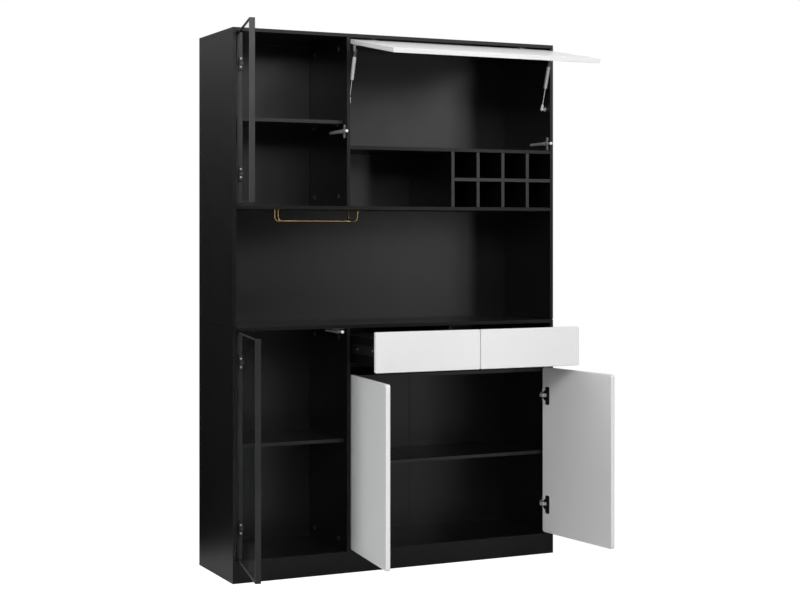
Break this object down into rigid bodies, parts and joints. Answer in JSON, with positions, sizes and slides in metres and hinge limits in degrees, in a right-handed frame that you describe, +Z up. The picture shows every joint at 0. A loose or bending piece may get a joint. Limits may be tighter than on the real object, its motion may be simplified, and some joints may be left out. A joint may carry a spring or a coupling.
{
  "type": "tall sideboard",
  "caption": "Tall two-part kitchen sideboard with glass doors, a lift-up flap, a bottle rack, an open niche with stemware rails, drawers and handle-less doors.",
  "frame": {"origin": "on the floor at the middle of the footprint, on the underside of the middle plinth rail", "axes": "+Z up, -Y out of the front, +X to the right seen from the front"},
  "size_m": [1.2954, 0.7032, 1.8],
  "materials": {
    "black_board": "satin black laminate on board",
    "black_back": "matt black hardboard",
    "white_board": "satin white foil on board",
    "black_metal": "satin black",
    "glass": "clear",
    "steel": "nickel plated",
    "zinc": "silver painted",
    "brass": "brushed",
    "grey_plastic": "matt",
    "white_plastic": "smooth"
  },
  "bodies": {
    "cabinet": {"lower_side_left": "black_board", "lower_side_right": "black_board", "upper_side_left": "black_board", "upper_side_right": "black_board", "top_panel": "black_board", "countertop": "black_board", "bottom_panel": "black_board", "plinth_front": "black_board", "plinth_rails": "black_board", "lower_divider": "black_board", "upper_divider": "black_board", "niche_top_shelf": "black_board", "flap_shelf": "black_board", "rack_end_panel": "black_board", "rack_upright_1": "black_board", "rack_upright_2": "black_board", "rack_upright_3": "black_board", "rack_shelf": "black_board", "drawer_deck": "black_board", "drawer_partition": "black_board", "upper_back": "black_back", "lower_back": "black_back", "upper_left_shelf": "black_board", "lower_left_shelf": "black_board", "lower_right_shelf": "black_board", "front_stemware_rail": "brass", "rear_stemware_rail": "brass", "upper_glass_door_lower_hinge_arm": "steel", "upper_glass_door_upper_hinge_arm": "steel", "lower_glass_door_lower_hinge_arm": "steel", "lower_glass_door_upper_hinge_arm": "steel", "left_door_lower_hinge_arm": "steel", "left_door_upper_hinge_arm": "steel", "right_door_lower_hinge_arm": "steel", "right_door_upper_hinge_arm": "steel", "flap_left_hinge_arm": "steel", "flap_right_hinge_arm": "steel", "left_strut_wall_bracket": "steel", "right_strut_wall_bracket": "steel", "upper_latch_housing": "grey_plastic", "lower_latch_housing": "grey_plastic", "flap_latch_housing": "grey_plastic"},
    "upper_glass_door": {"upper_glass_door_frame": "black_metal", "upper_glass_door_pane": "glass"},
    "lower_glass_door": {"lower_glass_door_frame": "black_metal", "lower_glass_door_pane": "glass"},
    "left_white_door": {"left_door": "white_board"},
    "right_white_door": {"right_door": "white_board"},
    "lift_flap": {"flap": "white_board"},
    "left_rod": {"left_strut_rod": "steel"},
    "right_rod": {"right_strut_rod": "steel"},
    "left_cylinder": {"left_strut_cylinder": "zinc"},
    "right_cylinder": {"right_strut_cylinder": "zinc"},
    "upper_plunger": {"upper_latch_plunger": "white_plastic"},
    "lower_plunger": {"lower_latch_plunger": "white_plastic"},
    "flap_plunger": {"flap_latch_plunger": "white_plastic"},
    "left_drawer": {"left_drawer_front": "white_board", "left_drawer_box": "black_board"},
    "right_drawer": {"right_drawer_front": "white_board", "right_drawer_box": "black_board"}
  },
  "joints": [
    {"name": "upper_glass_door_hinge", "type": "hinge", "parent": "cabinet", "child": "upper_glass_door", "pos_m": [-0.572, -0.161, 1.506], "axis": [0, 0, -1], "range_deg": [-104.3, 3.7]},
    {"name": "lower_glass_door_hinge", "type": "hinge", "parent": "cabinet", "child": "lower_glass_door", "pos_m": [-0.572, -0.161, 0.4435], "axis": [0, 0, -1], "range_deg": [-101.5, 6.5]},
    {"name": "left_door_hinge", "type": "hinge", "parent": "cabinet", "child": "left_white_door", "pos_m": [-0.1725, -0.1625, 0.3668], "axis": [0, 0, -1], "range_deg": [-96.7, 2]},
    {"name": "right_door_hinge", "type": "hinge", "parent": "cabinet", "child": "right_white_door", "pos_m": [0.5745, -0.1625, 0.3668], "axis": [0, 0, 1], "range_deg": [-96.4, 2]},
    {"name": "flap_hinge", "type": "hinge", "parent": "cabinet", "child": "lift_flap", "pos_m": [0.201, -0.1625, 1.7745], "axis": [-1, 0, 0], "range_deg": [-79.5, 0]},
    {"name": "left_strut_rod_pivot", "type": "hinge", "parent": "cabinet", "child": "left_rod", "pos_m": [-0.174, -0.133, 1.575], "axis": [-1, 0, 0], "range_deg": [0, 16.1]},
    {"name": "right_strut_rod_pivot", "type": "hinge", "parent": "cabinet", "child": "right_rod", "pos_m": [0.576, -0.133, 1.575], "axis": [-1, 0, 0], "range_deg": [0, 16.1]},
    {"name": "left_strut_cylinder_pivot", "type": "hinge", "parent": "lift_flap", "child": "left_cylinder", "pos_m": [-0.174, -0.186, 1.743], "axis": [-1, 0, 0], "range_deg": [0, 95.6]},
    {"name": "right_strut_cylinder_pivot", "type": "hinge", "parent": "lift_flap", "child": "right_cylinder", "pos_m": [0.576, -0.186, 1.743], "axis": [-1, 0, 0], "range_deg": [0, 95.6]},
    {"name": "upper_latch_slide", "type": "slide", "parent": "cabinet", "child": "upper_plunger", "axis": [0, -1, 0], "range_m": [-0.038, 0.0014]},
    {"name": "lower_latch_slide", "type": "slide", "parent": "cabinet", "child": "lower_plunger", "axis": [0, -1, 0], "range_m": [-0.038, 0.0025]},
    {"name": "flap_latch_slide", "type": "slide", "parent": "cabinet", "child": "flap_plunger", "axis": [0, -1, 0], "range_m": [-0.038, 0]},
    {"name": "left_drawer_slide", "type": "slide", "parent": "cabinet", "child": "left_drawer", "axis": [0, -1, 0], "range_m": [-0.198, 0.027]},
    {"name": "right_drawer_slide", "type": "slide", "parent": "cabinet", "child": "right_drawer", "axis": [0, -1, 0], "range_m": [-0.198, 0.027]}
  ],
  "couplings": [
    {"joint": "left_strut_rod_pivot", "follows": "flap_hinge", "ratio": -0.2018},
    {"joint": "right_strut_rod_pivot", "follows": "flap_hinge", "ratio": -0.2018},
    {"joint": "left_strut_cylinder_pivot", "follows": "flap_hinge", "ratio": -1.2018},
    {"joint": "right_strut_cylinder_pivot", "follows": "flap_hinge", "ratio": -1.2018},
    {"joint": "flap_latch_slide", "follows": "flap_hinge", "m_per_rad": 0.02738},
    {"joint": "upper_latch_slide", "follows": "upper_glass_door_hinge", "m_per_rad": 0.02087},
    {"joint": "lower_latch_slide", "follows": "lower_glass_door_hinge", "m_per_rad": 0.02145}
  ]
}
